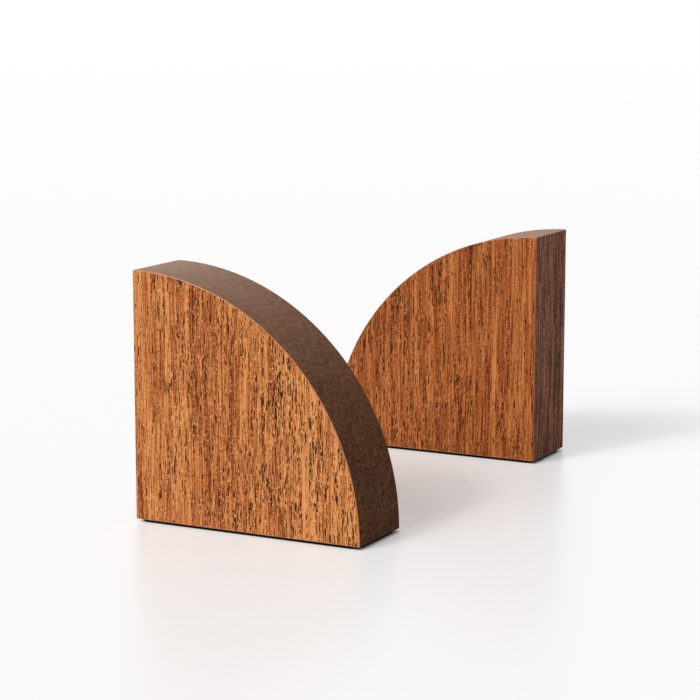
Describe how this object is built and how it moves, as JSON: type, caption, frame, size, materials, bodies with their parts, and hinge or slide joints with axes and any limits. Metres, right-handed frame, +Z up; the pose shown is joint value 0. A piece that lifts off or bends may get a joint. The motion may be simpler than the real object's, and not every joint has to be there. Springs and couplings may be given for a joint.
{
  "type": "pair of book ends",
  "caption": "Pair of solid wooden quarter-round book ends with upright grain, each standing on a thin non-slip pad held by an adhesive film.",
  "frame": {"origin": "on the shelf, in the middle of the pair: the centre of the pair's box at its underside", "axes": "+X along the broad faces, from the front block's upright side towards the tip of its foot; +Y from the front book end to the rear one, along the row of books; +Z up"},
  "size_m": [0.13, 0.264, 0.1315],
  "materials": {
    "wood": "open-pored reddish brown hardwood with a thin satin oil finish",
    "pad": "matt black non-slip sheet",
    "adhesive": "clear tacky film"
  },
  "bodies": {
    "front_book_end": {"front_block": "wood", "front_pad": "pad", "front_adhesive": "adhesive"},
    "rear_book_end": {"rear_block": "wood", "rear_pad": "pad", "rear_adhesive": "adhesive"}
  },
  "joints": [
    {"name": "rear_book_end_slide", "type": "slide", "parent": "front_book_end", "child": "rear_book_end", "axis": [0, 1, 0], "range_m": [-0.1745, 0.225]}
  ]
}
